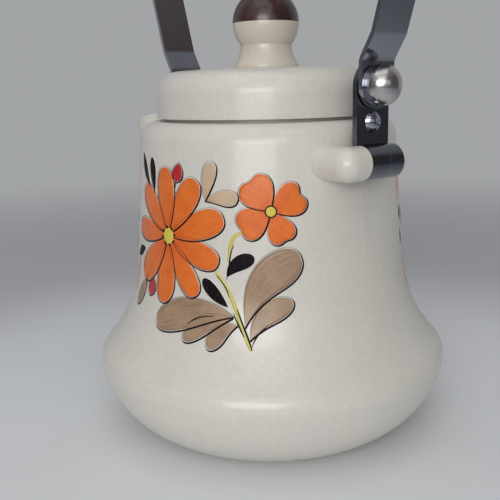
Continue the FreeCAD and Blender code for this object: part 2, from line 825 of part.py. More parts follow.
def add_clip_fastener(side, turn):
    """Round-headed screw with a dimple, and the hexagon nut behind the plates."""
    height = clip_screw_height
    stem = size("clip_screw_radius")
    reach = plate_outer - plate_inner + size("clip_nut_gauge") + size("clip_screw_tail")
    head = size("clip_screw_head")
    rise = size("clip_screw_head_rise")
    dimple = size("clip_screw_dimple")
    turned_piece(side + "_clip_screw", [
        (None, None),
        (stem, None),
        (stem, reach),
        (head, reach, size("clip_screw_crown"), -1),
        (dimple, reach + rise),
        (None, reach + rise - dimple / 2),
    ], x=plate_outer - reach, z=height, turn=turn, tilt=90)
    block = primitive("Part::Prism", side + "_hexagon", {
        "Circumradius": size("clip_nut_radius"), "Height": size("clip_nut_gauge")})
    block.Polygon = 6
    bore = primitive("Part::Cylinder", side + "_nut_bore", {
        "Radius": stem + size("fixed_fit"), "Height": size("clip_nut_gauge")})
    doc.recompute()
    nut = doc.addObject("Part::Cut", side + "_nut_cut")
    nut.Base = block
    nut.Tool = bore
    place(nut, plate_inner - size("clip_nut_gauge"), height, turn, 90)
    keep(nut, side + "_clip_nut")


def add_pivot(side, turn):
    """Bolt, spacer, three washers and domed nut that carry one arm of the bail."""
    height = size("pivot_height")
    stem = size("pivot_radius")
    bore = stem + size("fixed_fit")
    head = size("bolt_head_radius")
    rise = size("bolt_head_gauge")
    gauge_each = size("washer_gauge")
    nut_foot = stack_foot + gauge_each * 3.0
    length = nut_foot + size("bolt_reach") - plate_inner + rise
    turned_piece(side + "_pivot_bolt", [
        (None, None), (head, None), (head, rise), (stem, rise), (stem, length), (None, length),
    ], x=plate_inner - rise, z=height, turn=turn, tilt=90)
    spot = {"z": height, "turn": turn, "tilt": 90}
    spacer = size("spacer_gauge")
    ring_piece(side + "_spacer", bore, size("spacer_radius"), spacer, x=plate_outer, **spot)
    radii = (("flat_washer", "washer_radius"), ("spring_washer", "spring_radius"),
             ("outer_washer", "washer_radius"))
    for step, (name, alias) in enumerate(radii):
        foot = stack_foot + gauge_each * float(step)
        ring_piece("%s_%s" % (side, name), bore, size(alias), gauge_each, x=foot, **spot)
    rim = size("dome_radius")
    peak = size("dome_rise")
    drop = peak - size("dome_rim")
    curve_number = (rim.number ** 2 + drop.number ** 2) / (2 * drop.number)
    curve = Size(curve_number, "(Sizes.dome_radius ^ 2 + (Sizes.dome_rise - Sizes.dome_rim) ^ 2)"
                 " / (2 * (Sizes.dome_rise - Sizes.dome_rim))")
    turned_piece(side + "_dome_nut", [
        (bore, None), (rim, None), (rim, size("dome_rim"), curve, -1),
        (None, peak), (None, size("dome_bore")), (bore, size("dome_bore")),
    ], x=nut_foot, **spot)


def add_arm(side, turn):
    """Flat strap: rounded eye, outward joggle, slanting limb and bend into the grip."""
    arm_middle = arm_inner + size("arm_gauge") / 2
    path_corners = [
        (arm_middle, size("pivot_height"), None),
        (arm_middle, size("joggle_low"), size("joggle_bend")),
        (size("joggle_reach"), size("joggle_high"), size("joggle_bend")),
        (size("bail_corner_reach"), size("grip_height"), size("bail_bend")),
        (size("arm_end"), size("grip_height"), None),
    ]
    arm = new_body(side + "_arm")
    path = new_sketch(arm, "XZ_Plane")
    spots = [vector(x.number, z.number) for x, z, _ in path_corners]
    pieces, joints = [], []
    here = spots[0]
    for step in range(1, len(spots) - 1):
        back = (spots[step - 1] - spots[step]).normalize()
        ahead = (spots[step + 1] - spots[step]).normalize()
        half = back.getAngle(ahead) / 2
        radius = path_corners[step][2].number
        run = radius / math.tan(half)
        start = spots[step] + back * run
        finish = spots[step] + ahead * run
        centre = spots[step] + (back + ahead).normalize() * (radius / math.sin(half))
        pieces += [Part.LineSegment(here, start), arc_between(centre, start, finish)]
        joints += [(start, True), (finish, True)]
        here = finish
    pieces.append(Part.LineSegment(here, spots[-1]))
    draw_chain(path, pieces, joints, closed=False)
    last = len(pieces) - 1
    for step in range(1, len(spots) - 1):
        x, z, radius = path_corners[step]
        mark = path.addGeometry(Part.Point(spots[step]), True)
        fix_point(path, mark, 1, x, z)
        for line in (2 * step - 2, 2 * step):
            path.addConstraint(Sketcher.Constraint("PointOnObject", mark, 1, line))
        bind(path, "Radius", 2 * step - 1, radius)
    fix_point(path, 0, 1, path_corners[0][0], path_corners[0][1])
    fix_point(path, last, 2, path_corners[-1][0], path_corners[-1][1])
    section = new_sketch(arm, "XY_Plane", size("pivot_height"))
    half_arm = size("arm_gauge") / 2
    low = arm_middle - half_arm
    high = arm_middle + half_arm
    ends = [vector(low.number, -half_width.number), vector(high.number, -half_width.number),
            vector(high.number, half_width.number), vector(low.number, half_width.number)]
    draw_chain(
        section,
        [Part.LineSegment(ends[step], ends[(step + 1) % 4]) for step in range(4)],
        [(ends[(step + 1) % 4], False) for step in range(4)],
    )
    section.addConstraint(Sketcher.Constraint("Horizontal", 0))
    section.addConstraint(Sketcher.Constraint("Symmetric", 0, 1, 2, 2, -1))
    section.addConstraint(Sketcher.Constraint("Symmetric", 0, 2, 2, 1, -1))
    bind(section, "DistanceY", 1, 1, 1, 2, width)
    bind(section, "DistanceX", *ORIGIN_POINT, 0, 1, low)
    bind(section, "DistanceX", *ORIGIN_POINT, 0, 2, high)
    limb = arm.newObject("PartDesign::AdditivePipe", side + "_limb")
    limb.Profile = section
    limb.Spine = (path, ["Edge%d" % (number + 1) for number in range(len(pieces))])
    doc.recompute()
    eye = new_sketch(arm, "YZ_Plane", arm_inner)
    draw_circle(eye, None, size("pivot_height"), half_width)
    extrude(arm, eye, size("arm_gauge"))
    bore = new_sketch(arm, "YZ_Plane")
    draw_circle(bore, None, size("pivot_height"), size("pivot_radius") + size("pivot_fit"))
    pocket(arm, bore, size("belly_radius") * 2.0)
    screw_hole = new_sketch(arm, "XY_Plane", size("grip_height") - width)
    draw_circle(screw_hole, size("grip_screw_reach"), None, size("grip_screw_radius") + size("fixed_fit"))
    pocket(arm, screw_hole, width * 2.0)
    place(arm, None, None, turn, 0)
    keep(arm, side + "_arm")


for side, turn in SIDES:
    add_lug(side, turn)
    add_clip(side, turn)
    add_clip_fastener(side, turn)
    add_pivot(side, turn)
    add_arm(side, turn)

# ---------------------------------------------------------------- grip
split = size("grip_height") + size("arm_gauge") / 2 + size("grip_fit") / 2
crown_number = (SIZES["grip_width"] ** 2 / 4 + SIZES["grip_crown"] ** 2) / (2 * SIZES["grip_crown"])
crown = Size(crown_number, "(Sizes.grip_width ^ 2 / 4 + Sizes.grip_crown ^ 2) / (2 * Sizes.grip_crown)")


def grip_half(name, sign):
    """Half of the grip: a crowned bar with rounded ends, above or below the strap."""
    body = new_body(name)
    sketch = new_sketch(body, "YZ_Plane")
    wide = SIZES["grip_width"] / 2
    flat = [vector(-wide, split.number), vector(wide, split.number)]
    peak = vector(0, split.number + sign * SIZES["grip_crown"])
    pieces = [Part.LineSegment(flat[0], flat[1]), Part.Arc(flat[1], peak, flat[0])]
    draw_chain(sketch, pieces, [(flat[1], False), (flat[0], False)])
    sketch.addConstraint(Sketcher.Constraint("Symmetric", 0, 1, 0, 2, -2))
    bind(sketch, "DistanceX", 0, 1, 0, 2, size("grip_width"))
    bind(sketch, "DistanceY", *ORIGIN_POINT, 0, 2, split)
    bind(sketch, "Radius", 1, crown)
    bar = extrude(body, sketch, size("grip_half") * 2.0, True)
    ends = [
        "Edge%d" % index for index, edge in enumerate(body.Shape.Edges, start=1)
        if edge.BoundBox.XLength < 1e-4 and edge.BoundBox.ZLength > 1
    ]
    rounded = body.newObject("PartDesign::Fillet", name + "_rounded")
    rounded.Base = (bar, ends)
    rounded.setExpression("Radius", "Sizes.grip_round")
    doc.recompute()
    return body


upper = grip_half("grip_upper", 1)
lower = grip_half("grip_lower", -1)
slot = new_sketch(lower, "XZ_Plane")
slot_floor = split - size("arm_gauge") - size("grip_fit")
slot_length = size("grip_half") * 4.0
slot_end = slot_length.number / 2
spots = [vector(-slot_end, slot_floor.number), vector(slot_end, slot_floor.number),
         vector(slot_end, split.number), vector(-slot_end, split.number)]
draw_chain(
    slot,
    [Part.LineSegment(spots[step], spots[(step + 1) % 4]) for step in range(4)],
    [(spots[(step + 1) % 4], False) for step in range(4)],
)
slot.addConstraint(Sketcher.Constraint("Vertical", 1))
slot.addConstraint(Sketcher.Constraint("Symmetric", 0, 1, 0, 2, -2))
slot.addConstraint(Sketcher.Constraint("Symmetric", 2, 1, 2, 2, -2))
bind(slot, "DistanceX", 0, 1, 0, 2, slot_length)
bind(slot, "DistanceY", *ORIGIN_POINT, 0, 2, slot_floor)
bind(slot, "DistanceY", *ORIGIN_POINT, 2, 1, split)
pocket(lower, slot, width + size("grip_fit") * 2.0, True)

screw_bore = size("grip_screw_radius") + size("fixed_fit")
screw_foot = split - size("grip_crown") + size("grip_screw_sink")
screw_top = split + size("grip_screw_grip")
head_seat = screw_foot + size("grip_screw_head_rise")
for body, start, length, radius in (
    (upper, split, size("grip_screw_grip") + size("grip_screw_room"), screw_bore),
    (lower, head_seat, width, screw_bore),
    (lower, head_seat - width, width, size("grip_screw_head") + size("fixed_fit")),
):
    drill = new_sketch(body, "XY_Plane", start)
    draw_circle(drill, size("grip_screw_reach"), None, radius)
    cut = body.newObject("PartDesign::Pocket", body.Name + "_drilled")
    cut.Profile = drill
    cut.Reversed = True
    cut.setExpression("Length", length.formula)
    doc.recompute()
    pair = body.newObject("PartDesign::Mirrored", body.Name + "_pair")
    pair.Originals = [cut]
    pair.MirrorPlane = (
        [item for item in body.Origin.OriginFeatures if item.Role == "YZ_Plane"][0],
        [""],
    )
    body.Tip = pair
    doc.recompute()
keep(upper, "grip_upper")
keep(lower, "grip_lower")
for side, turn in SIDES:
    turned_piece(side + "_grip_screw", [
        (None, screw_foot), (size("grip_screw_head"), screw_foot),
        (size("grip_screw_head"), head_seat), (size("grip_screw_radius"), head_seat),
        (size("grip_screw_radius"), screw_top), (None, screw_top),
    ], x=size("grip_screw_reach"), turn=turn)

# ---------------------------------------------------------------- checks and export
doc.recompute()
for thing in doc.Objects:
    if "Invalid" in thing.State or "Error" in thing.State:
        raise ValueError("%s did not rebuild" % thing.Label)
os.makedirs("parts", exist_ok=True)
for name, thing in NODES:
    if thing.Shape.isNull() or not thing.Shape.isValid() or not thing.Shape.Solids:
        raise ValueError("%s is not a sound solid" % name)
    thing.Shape.exportStep("parts/%s.step" % name)
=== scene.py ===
import json
import math

import bmesh
import bpy
import numpy as np
from mathutils import Matrix, Vector


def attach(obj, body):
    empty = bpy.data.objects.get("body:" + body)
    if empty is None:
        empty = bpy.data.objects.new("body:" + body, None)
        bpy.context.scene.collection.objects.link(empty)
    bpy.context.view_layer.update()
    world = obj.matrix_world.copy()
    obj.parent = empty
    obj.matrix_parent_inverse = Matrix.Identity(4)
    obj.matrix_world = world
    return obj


# An enamelled steel kettle with a chromed strap bail. Metres, +Z up, the spout points along -X.
# The steel pieces come from the CAD frame and keep their shape; this script gives them their
# finishes and adds the printed flowers, which are thin curved patches lying on the enamel.

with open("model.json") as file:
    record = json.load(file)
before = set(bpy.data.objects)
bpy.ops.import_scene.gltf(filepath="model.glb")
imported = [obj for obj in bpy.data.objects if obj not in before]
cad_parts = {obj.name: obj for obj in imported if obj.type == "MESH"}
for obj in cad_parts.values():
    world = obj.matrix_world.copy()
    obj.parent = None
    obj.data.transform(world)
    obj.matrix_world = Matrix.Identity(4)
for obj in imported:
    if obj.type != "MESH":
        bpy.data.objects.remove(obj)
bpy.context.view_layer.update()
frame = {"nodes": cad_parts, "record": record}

MM = 0.001

# The outside of the kettle wall, as the CAD part has it: a tapered cone over a concave flare
CONE_RADIUS = 68.3 * MM
CONE_HEIGHT = 150.0 * MM
CONE_TAPER = math.radians(4.2)
FLARE_RADIUS = 75.0 * MM
BELLY_RADIUS = 95.5 * MM
BELLY_HEIGHT = 38.5 * MM
BELLY_EDGE = 11.0 * MM


# ---------------------------------------------------------------- shader expressions


class Wire:
    """A shader socket that can be added and multiplied like a number."""

    def __init__(self, shader, socket):
        self.shader = shader
        self.socket = socket

    def math(self, operation, other):
        return self.shader.node("ShaderNodeMath", {"operation": operation}, [self, other])

    def __add__(self, other):
        return self.math("ADD", other)

    def __radd__(self, other):
        return self.math("ADD", other)

    def __mul__(self, other):
        return self.math("MULTIPLY", other)

    def __rmul__(self, other):
        return self.math("MULTIPLY", other)



class Shader:
    """A node tree, and the one way in which this script adds nodes to it."""

    def __init__(self, owner):
        owner.use_nodes = True
        self.tree = owner.node_tree

    def node(self, kind, settings, inputs, output=0):
        """Add a node: its settings first, then the values or links of its sockets."""
        made = self.tree.nodes.new(kind)
        for key, value in settings.items():
            setattr(made, key, value)
        named = inputs.items() if isinstance(inputs, dict) else enumerate(inputs)
        for key, value in named:
            self.feed(made.inputs[key], value)
        return Wire(self, made.outputs[output])

    def feed(self, socket, value):
        if isinstance(value, Wire):
            self.tree.links.new(value.socket, socket)
        else:
            socket.default_value = value

    def steps(self, value, low, high):
        """0 below low, 1 above high and a smooth rise between."""
        inputs = {"Value": value, "From Min": low, "From Max": high}
        return self.node("ShaderNodeMapRange", {"interpolation_type": "SMOOTHSTEP"}, inputs)

    def mix(self, share, one, two):
        """Colour one where share is 0 and colour two where it is 1."""
        return self.node("ShaderNodeMix", {"data_type": "RGBA"}, {0: share, 6: one, 7: two}, 2)


class Finish(Shader):
    """A material and the one Principled shader that it feeds."""

    def __init__(self, name):
        self.material = bpy.data.materials.new(name)
        super().__init__(self.material)
        self.surface = self.tree.nodes["Principled BSDF"]
        self.place = self.node("ShaderNodeTexCoord", {}, {}, "Object")

    def set(self, **values):
        """Feed the shader's sockets; Base_Color stands for Base Color."""
        for key, value in values.items():
            self.feed(self.surface.inputs[key.replace("_", " ")], value)

    def noise(self, scale, detail=3.0, roughness=0.55, where=None):
        inputs = {"Vector": where or self.place, "Scale": scale, "Detail": detail, "Roughness": roughness}
        return self.node("ShaderNodeTexNoise", {}, inputs, "Fac")

    def cells(self, scale):
        """Distance to the nearest of many scattered points."""
        inputs = {"Vector": self.place, "Scale": scale}
        return self.node("ShaderNodeTexVoronoi", {"feature": "F1"}, inputs, "Distance")

    def stretched(self, scales, turn=(0.0, 0.0, 0.0), where=None):
        """Coordinates stretched along the axes, for streaks and brush lines."""
        inputs = {"Vector": where or self.place, "Rotation": turn, "Scale": scales}
        return self.node("ShaderNodeMapping", {}, inputs)

    def bump(self, height, distance, strength):
        inputs = {"Height": height, "Distance": distance, "Strength": strength}
        return self.node("ShaderNodeBump", {}, inputs)


def colour(red, green, blue):
    """A screen colour, 0 to 255 in each channel, as linear light."""
    linear = [((c / 255 + 0.055) / 1.055) ** 2.4 if c > 10 else c / 255 / 12.92 for c in (red, green, blue)]
    return (*linear, 1.0)


# ---------------------------------------------------------------- finishes


def cream_enamel(name, base, warm, speck_share):
    """Vitreous enamel: a milky coat with faint cloudiness, tiny dark specks and orange peel."""
    finish = Finish(name)
    cloud = finish.noise(28.0, 4.0)
    fine = finish.noise(420.0, 2.0)
    body = finish.mix(finish.steps(cloud, 0.35, 0.7), base, warm)
    grain = finish.mix(finish.steps(fine, 0.3, 0.75) * 0.35, body, colour(205, 202, 194))
    specks = finish.steps(finish.cells(560.0), 0.12, 0.05) * finish.steps(finish.noise(90.0), 0.5, 0.62)
    dust = finish.steps(finish.cells(1350.0), 0.2, 0.1) * 0.3
    dotted = finish.mix((specks + dust) * (0.42 * speck_share), grain, colour(112, 104, 96))
    peel = finish.noise(170.0, 1.0) + finish.noise(900.0, 1.0) * 0.15
    finish.set(
        Base_Color=dotted,
        Roughness=finish.noise(35.0, 3.0) * 0.14 + 0.25,
        Normal=finish.bump(peel, 0.00012, 0.55),
        Coat_Weight=0.35,
        Coat_Roughness=0.12,
        IOR=1.5,
    )
    return finish.material


def chrome(name, tint, roughness, lengthways):
    """Bright chrome plate with hairline polishing marks, dull patches and a few deeper scratches."""
    finish = Finish(name)
    hair = finish.noise(1.0, 4.0, where=finish.stretched(lengthways))
    smear = finish.noise(38.0, 3.0)
    slanted = finish.stretched((35.0, 900.0, 60.0), (0.4, 0.3, 0.5))
    scratch = finish.steps(finish.noise(1.0, 2.0, where=slanted), 0.66, 0.72)
    stained = finish.mix(finish.steps(smear, 0.45, 0.8) * 0.35, tint, colour(150, 146, 142))
    finish.set(
        Base_Color=finish.mix(scratch * 0.2, stained, colour(232, 232, 232)),
        Metallic=1.0,
        Roughness=hair * 0.08 + finish.steps(smear, 0.4, 0.8) * 0.1 + (roughness - 0.04) + scratch * 0.12,
        Normal=finish.bump(hair + scratch, 0.00002, 0.5),
    )
    return finish.material


def plain_steel(name, tint, roughness):
    """Turned, zinc-plated steel with concentric tool marks and dull blotches."""
    finish = Finish(name)
    blotch = finish.noise(260.0, 4.0)
    grain = finish.noise(1.0, 3.0, where=finish.stretched((300.0, 2200.0, 2200.0)))
    finish.set(
        Base_Color=finish.mix(finish.steps(blotch, 0.35, 0.7), tint, colour(128, 126, 124)),
        Metallic=1.0,
        Roughness=blotch * 0.18 + grain * 0.1 + (roughness - 0.12),
        Normal=finish.bump(grain, 0.00002, 0.4),
    )
    return finish.material


def brown_phenolic(name):
    """Pressed brown phenolic resin: near black with a red-brown mottle and fine wear scratches."""
    finish = Finish(name)
    mottle = finish.noise(55.0, 5.0, 0.65)
    flow = finish.noise(1.0, 4.0, where=finish.stretched((30.0, 160.0, 160.0)))
    rubbed = finish.stretched((90.0, 900.0, 300.0), (0.3, 0.9, 0.2))
    wear = finish.steps(finish.noise(1.0, 3.0, where=rubbed), 0.6, 0.72)
    base = finish.mix(finish.steps(mottle, 0.3, 0.75), colour(44, 28, 30), colour(70, 44, 42))
    streaked = finish.mix(finish.steps(flow, 0.45, 0.8) * 0.4, base, colour(88, 56, 50))
    finish.set(
        Base_Color=finish.mix(wear * 0.25, streaked, colour(120, 98, 92)),
        Roughness=mottle * 0.12 + wear * 0.16 + 0.2,
        Normal=finish.bump(mottle + wear * 0.4, 0.00004, 0.5),
        Coat_Weight=0.25,
        Coat_Roughness=0.15,
        IOR=1.55,
    )
    return finish.material


def printed_ink(name, deep, light, rim=None, roughness=0.36, gloss=0.3):
    """Fired-on enamel colour with brush streaks along the stroke and a slightly darker rim."""
    finish = Finish(name)
    stroke = finish.node("ShaderNodeUVMap", {"uv_map": "stroke"}, {})
    along = finish.node("ShaderNodeSeparateXYZ", {}, [stroke], "X")
    streaks = finish.noise(1.0, 4.0, where=finish.stretched((3.0, 26.0, 1.0), where=stroke))
    cloud = finish.noise(120.0, 4.0)
    shade = finish.steps(streaks * 0.6 + cloud * 0.4, 0.33, 0.66)
    ink = finish.mix(shade, deep, light)
    if rim is not None:
        ink = finish.mix(finish.steps(along, 0.42, 0.0) * 0.7, ink, rim)
    pits = finish.steps(finish.cells(900.0), 0.16, 0.06) * 0.25
    finish.set(
        Base_Color=finish.mix(pits, ink, colour(214, 206, 194)),
        Roughness=cloud * 0.12 + (roughness - 0.06),
        Normal=finish.bump(cloud + streaks * 0.4, 0.00004, 0.5),
        Specular_IOR_Level=gloss,
        Coat_Weight=gloss,
        Coat_Roughness=0.14,
    )
    return finish.material


def plain_floor():
    """A pale seamless table top with a painted pool of light round the kettle: its colour turns grey further
    out, as painted shade, and it fades out towards the walls of the studio.
    """
    finish = Finish("pale_floor")
    grain = finish.noise(9.0, 3.0)
    spread = finish.node("ShaderNodeVectorMath", {"operation": "LENGTH"}, [finish.place], "Value")
    pale = finish.mix(finish.steps(grain, 0.3, 0.7), colour(226, 229, 232), colour(230, 233, 236))
    finish.set(
        # painted shade: the colour darkens from pale to grey with distance from the kettle, a painted pool of
        # light
        Base_Color=finish.mix(finish.steps(spread, 0.16, 0.38), pale, colour(192, 194, 198)),
        Roughness=0.6,
        Alpha=finish.steps(spread, 1.2, 0.3),
    )
    return finish.material


CREAM = colour(218, 215, 207)
CREAM_WARM = colour(223, 218, 208)
ENAMEL = cream_enamel("cream_enamel", CREAM, CREAM_WARM, 1.0)
ENAMEL_KNOB = cream_enamel("cream_enamel_knob", colour(214, 206, 190), colour(220, 210, 192), 0.6)
CHROME = chrome("chrome_strap", colour(166, 168, 178), 0.09, (9.0, 600.0, 9.0))
# painted shade: the clips are the same chrome as the strap, tinted darker to stand in for the dark room they
# mirror
CHROME_CLIP_PAINTED_DARK = chrome("chrome_clip_painted_dark", colour(112, 114, 124), 0.08, (9.0, 600.0, 9.0))
CHROME_DOME = chrome("chrome_dome", colour(196, 194, 195), 0.2, (500.0, 60.0, 60.0))
ZINC = plain_steel("zinc_plate", colour(186, 188, 190), 0.3)
STEEL = plain_steel("bright_steel", colour(170, 172, 175), 0.26)
PHENOLIC = brown_phenolic("brown_phenolic")

SLOT_FINISH = {
    "enamel": ENAMEL,
    "chrome": CHROME,
    "zinc": ZINC,
    "plain_steel": STEEL,
    "brown_phenolic": PHENOLIC,
}
NODE_FINISH = {"knob_neck": ENAMEL_KNOB}
for side in ("rear", "front"):
    NODE_FINISH[side + "_clip"] = CHROME_CLIP_PAINTED_DARK
    NODE_FINISH[side + "_dome_nut"] = CHROME_DOME


def dress_cad_nodes():
    """Give every carried-over CAD piece its finish, by the slot that the record names for it."""
    for part in frame["record"]["subparts"]:
        thing = frame["nodes"][part["node"]]
        thing.data.materials.clear()
        thing.data.materials.append(NODE_FINISH.get(part["node"], SLOT_FINISH[part["material_slot"]]))


dress_cad_nodes()


# ---------------------------------------------------------------- printed flowers


def wall_radius(height):
    """Outer radius of the kettle wall: a straight taper, then a circle tangent to it that sweeps
    out to the rounded belly edge."""
    down = np.array([math.sin(CONE_TAPER), -math.cos(CONE_TAPER)])
    out = np.array([math.cos(CONE_TAPER), math.sin(CONE_TAPER)])
    knot = np.array([CONE_RADIUS, CONE_HEIGHT])
    edge_centre = np.array([BELLY_RADIUS - BELLY_EDGE, BELLY_HEIGHT])
    reach = edge_centre - (knot + out * FLARE_RADIUS)
    along = reach @ down
    drop = along - math.sqrt(along**2 - reach @ reach + (FLARE_RADIUS + BELLY_EDGE) ** 2)
    centre = knot + out * FLARE_RADIUS + down * drop
    meeting = centre - out * FLARE_RADIUS
    cone = CONE_RADIUS + (CONE_HEIGHT - height) * math.tan(CONE_TAPER)
    inside = np.clip(FLARE_RADIUS**2 - (height - centre[1]) ** 2, 0.0, None)
    flare = centre[0] - np.sqrt(inside)
    return np.where(height > meeting[1], cone, flare)


PRINT_RADIUS = 70.0 * MM  # the girth at which the transfer's flat sizes are true
INK_ROOT = 0.05 * MM  # how far an ink reaches into the wall, so that it never hangs in the air
DOUBLED = 0.001 * MM  # corners nearer than this are one corner
PRINT_CENTRES = {"left": math.radians(-65.0), "right": math.radians(84.0)}


def onto_wall(across, height, lift, centre):
    """Lay flat transfer sizes (mm) on the wall: across becomes an angle round the axis from the
    print's centre, height stays, and the radius is the wall's plus the lift."""
    angle = centre + across * MM / PRINT_RADIUS
    upright = height * MM
    radius = wall_radius(upright) + lift
    return np.stack([radius * np.cos(angle), radius * np.sin(angle), upright], axis=-1)


class Leaf:
    """A petal or leaf: a bent centreline from base to tip whose half width is
    half * s^early * (1 - s)^late, scaled so that its largest value is half."""

    def __init__(self, base, tip, half, bend=(0.0, 0.0), early=1.0, late=0.5):
        self.base = np.array(base, float)
        self.tip = np.array(tip, float)
        self.half = half
        self.bend = (self.base + self.tip) / 2 + np.array(bend, float)
        self.early = early
        self.late = late

    def grown(self, edge):
        """The same shape with a border of that many millimetres."""
        first = (self.bend - self.base) / np.linalg.norm(self.bend - self.base)
        last = (self.tip - self.bend) / np.linalg.norm(self.tip - self.bend)
        bigger = Leaf(self.base - first * edge, self.tip + last * edge, self.half + edge)
        bigger.bend, bigger.early, bigger.late = self.bend, self.early, self.late
        return bigger

    def spine(self, share):
        """Quadratic curve base, bend, tip; and its unit normal."""
        share = share[..., None]
        point = (1 - share) ** 2 * self.base + 2 * share * (1 - share) * self.bend + share**2 * self.tip
        slope = 2 * (1 - share) * (self.bend - self.base) + 2 * share * (self.tip - self.bend)
        slope = slope / np.linalg.norm(slope, axis=-1, keepdims=True)
        return point, np.stack([-slope[..., 1], slope[..., 0]], axis=-1)

    def width(self, share):
        peak = self.early / (self.early + self.late)
        top = peak**self.early * (1 - peak) ** self.late
        return self.half * share**self.early * (1 - share) ** self.late / top

    def fill(self, rows=30, columns=8):
        """Flat grid over the shape: share along it, side from -1 to 1 across it."""
        share = (1 - np.cos(np.linspace(0, math.pi, rows + 1))) / 2
        side = np.linspace(-1, 1, columns + 1)
        share, side = np.meshgrid(share, side, indexing="ij")
        point, normal = self.spine(share)
        flat = point + normal * (side * self.width(share))[..., None]
        return flat, np.stack([share, side * 0.5 + 0.5], axis=-1)

    def edge(self):
        """The outline as one closed run, down one side of the spine and back up the other."""
        turn = np.linspace(0, 2 * math.pi, 97)
        share = (1 - np.cos(turn)) / 2
        point, normal = self.spine(share)
        side = np.where(turn < math.pi, -1.0, 1.0)
        return point + normal * (side * self.width(share))[..., None]


class HeartPetal:
    """A petal with a notched tip, in polar form about the flower's centre: at a share off of its
    spread from its middle line its reach is length * (1 - |off|^3.2)^0.5, less a narrow
    bell-shaped notch."""

    def __init__(self, centre, way, length, spread, notch, inner=1.6):
        self.centre = np.array(centre, float)
        self.way = math.radians(way)
        self.length = length
        self.spread = math.radians(spread)
        self.notch = notch
        self.inner = inner

    def grown(self, edge):
        wider = math.degrees(self.spread) + math.degrees(edge / self.length)
        bigger = HeartPetal((0, 0), 0, self.length + edge, wider, self.notch, self.inner - edge / 2)
        bigger.centre, bigger.way = self.centre, self.way
        return bigger

    def at(self, share, off):
        """The point at a share of the full reach, at a share off of the spread."""
        reach = self.length * np.clip(1 - np.abs(off) ** 3.2, 0, None) ** 0.5
        reach = reach * (1 - self.notch * np.exp(-((off / 0.2) ** 2)))
        reach = self.inner + (np.maximum(reach, self.inner) - self.inner) * share
        angle = self.way + off * self.spread
        return self.centre + np.stack([np.cos(angle), np.sin(angle)], axis=-1) * reach[..., None]

    def fill(self, rows=10, columns=36):
        share = np.linspace(0, 1, rows + 1)
        off = -np.cos(np.linspace(0, math.pi, columns + 1))
        share, off = np.meshgrid(share, off, indexing="ij")
        return self.at(share, off), np.stack([share, off * 0.5 + 0.5], axis=-1)

    def edge(self):
        off = -np.cos(np.linspace(0, math.pi, 73))
        return self.at(np.ones_like(off), off)


def pen_round(run, pen, slant=math.radians(-42.0), swing=0.62):
    """A pen line along an outline, thickest where the outline faces the slant direction, as a
    slanted nib draws it."""
    step = np.gradient(run, axis=0)
    step = step / np.maximum(np.linalg.norm(step, axis=-1, keepdims=True), 1e-9)
    out = np.stack([step[..., 1], -step[..., 0]], axis=-1)
    facing = out @ np.array([math.cos(slant), math.sin(slant)])
    thick = pen * np.clip(1 - swing + swing * facing, 0.12, None)
    across = np.array([-0.5, 0.5])
    flat = run[:, None, :] + out[:, None, :] * (thick[:, None] * across)[..., None]
    mark = np.stack(np.meshgrid(np.linspace(0, 1, len(run)), across + 0.5, indexing="ij"), axis=-1)
    return flat, mark


def brush_line(points, pen, taper=0.6):
    """A drawn line through the points, a smooth curve whose thickness swells in the middle."""
    knots = np.array(points, float)
    at = np.linspace(0, 1, len(knots))
    share = np.linspace(0, 1, 49)
    order = min(3, len(knots) - 1)
    fit = np.stack([np.polyval(np.polyfit(at, knots[:, axis], order), share) for axis in (0, 1)], -1)
    slope = np.gradient(fit, axis=0)
    slope = slope / np.linalg.norm(slope, axis=-1, keepdims=True)
    normal = np.stack([-slope[:, 1], slope[:, 0]], axis=-1)
    thick = pen * (1 - taper * (2 * share - 1) ** 2)
    across = np.array([-0.5, 0.0, 0.5])
    flat = fit[:, None, :] + normal[:, None, :] * (thick[:, None] * across)[..., None]
    mark = np.stack(np.meshgrid(share, across + 0.5, indexing="ij"), axis=-1)
    return flat, mark


def disc(centre, radius, squash=1.0):
    """A round spot as rings about its centre, the rings evenly spaced from 0 to the radius."""
    turn = np.linspace(0, 2 * math.pi, 33)
    ring = np.linspace(0, 1, 5)
    turn, ring = np.meshgrid(turn, ring, indexing="ij")
    flat = np.stack([np.cos(turn), np.sin(turn) * squash], -1) * (ring * radius)[..., None] + np.array(centre)
    return flat, np.stack([ring, turn / (2 * math.pi)], axis=-1)


def loop_line(centre, radius, pen):
    """A thin ring."""
    turn = np.linspace(0, 2 * math.pi, 49)
    across = np.array([-0.5, 0.5])
    angle, side = np.meshgrid(turn, across, indexing="ij")
    reach = radius + side * pen
    flat = np.stack([np.cos(angle), np.sin(angle)], -1) * reach[..., None] + np.array(centre)
    return flat, np.stack([angle / (2 * math.pi), side + 0.5], axis=-1)


def close_seams(mesh):
    """Join the doubled corners where a patch runs to a point or meets itself."""
    joined = bmesh.new()
    joined.from_mesh(mesh)
    bmesh.ops.remove_doubles(joined, verts=joined.verts, dist=DOUBLED)
    joined.to_mesh(mesh)
    joined.free()


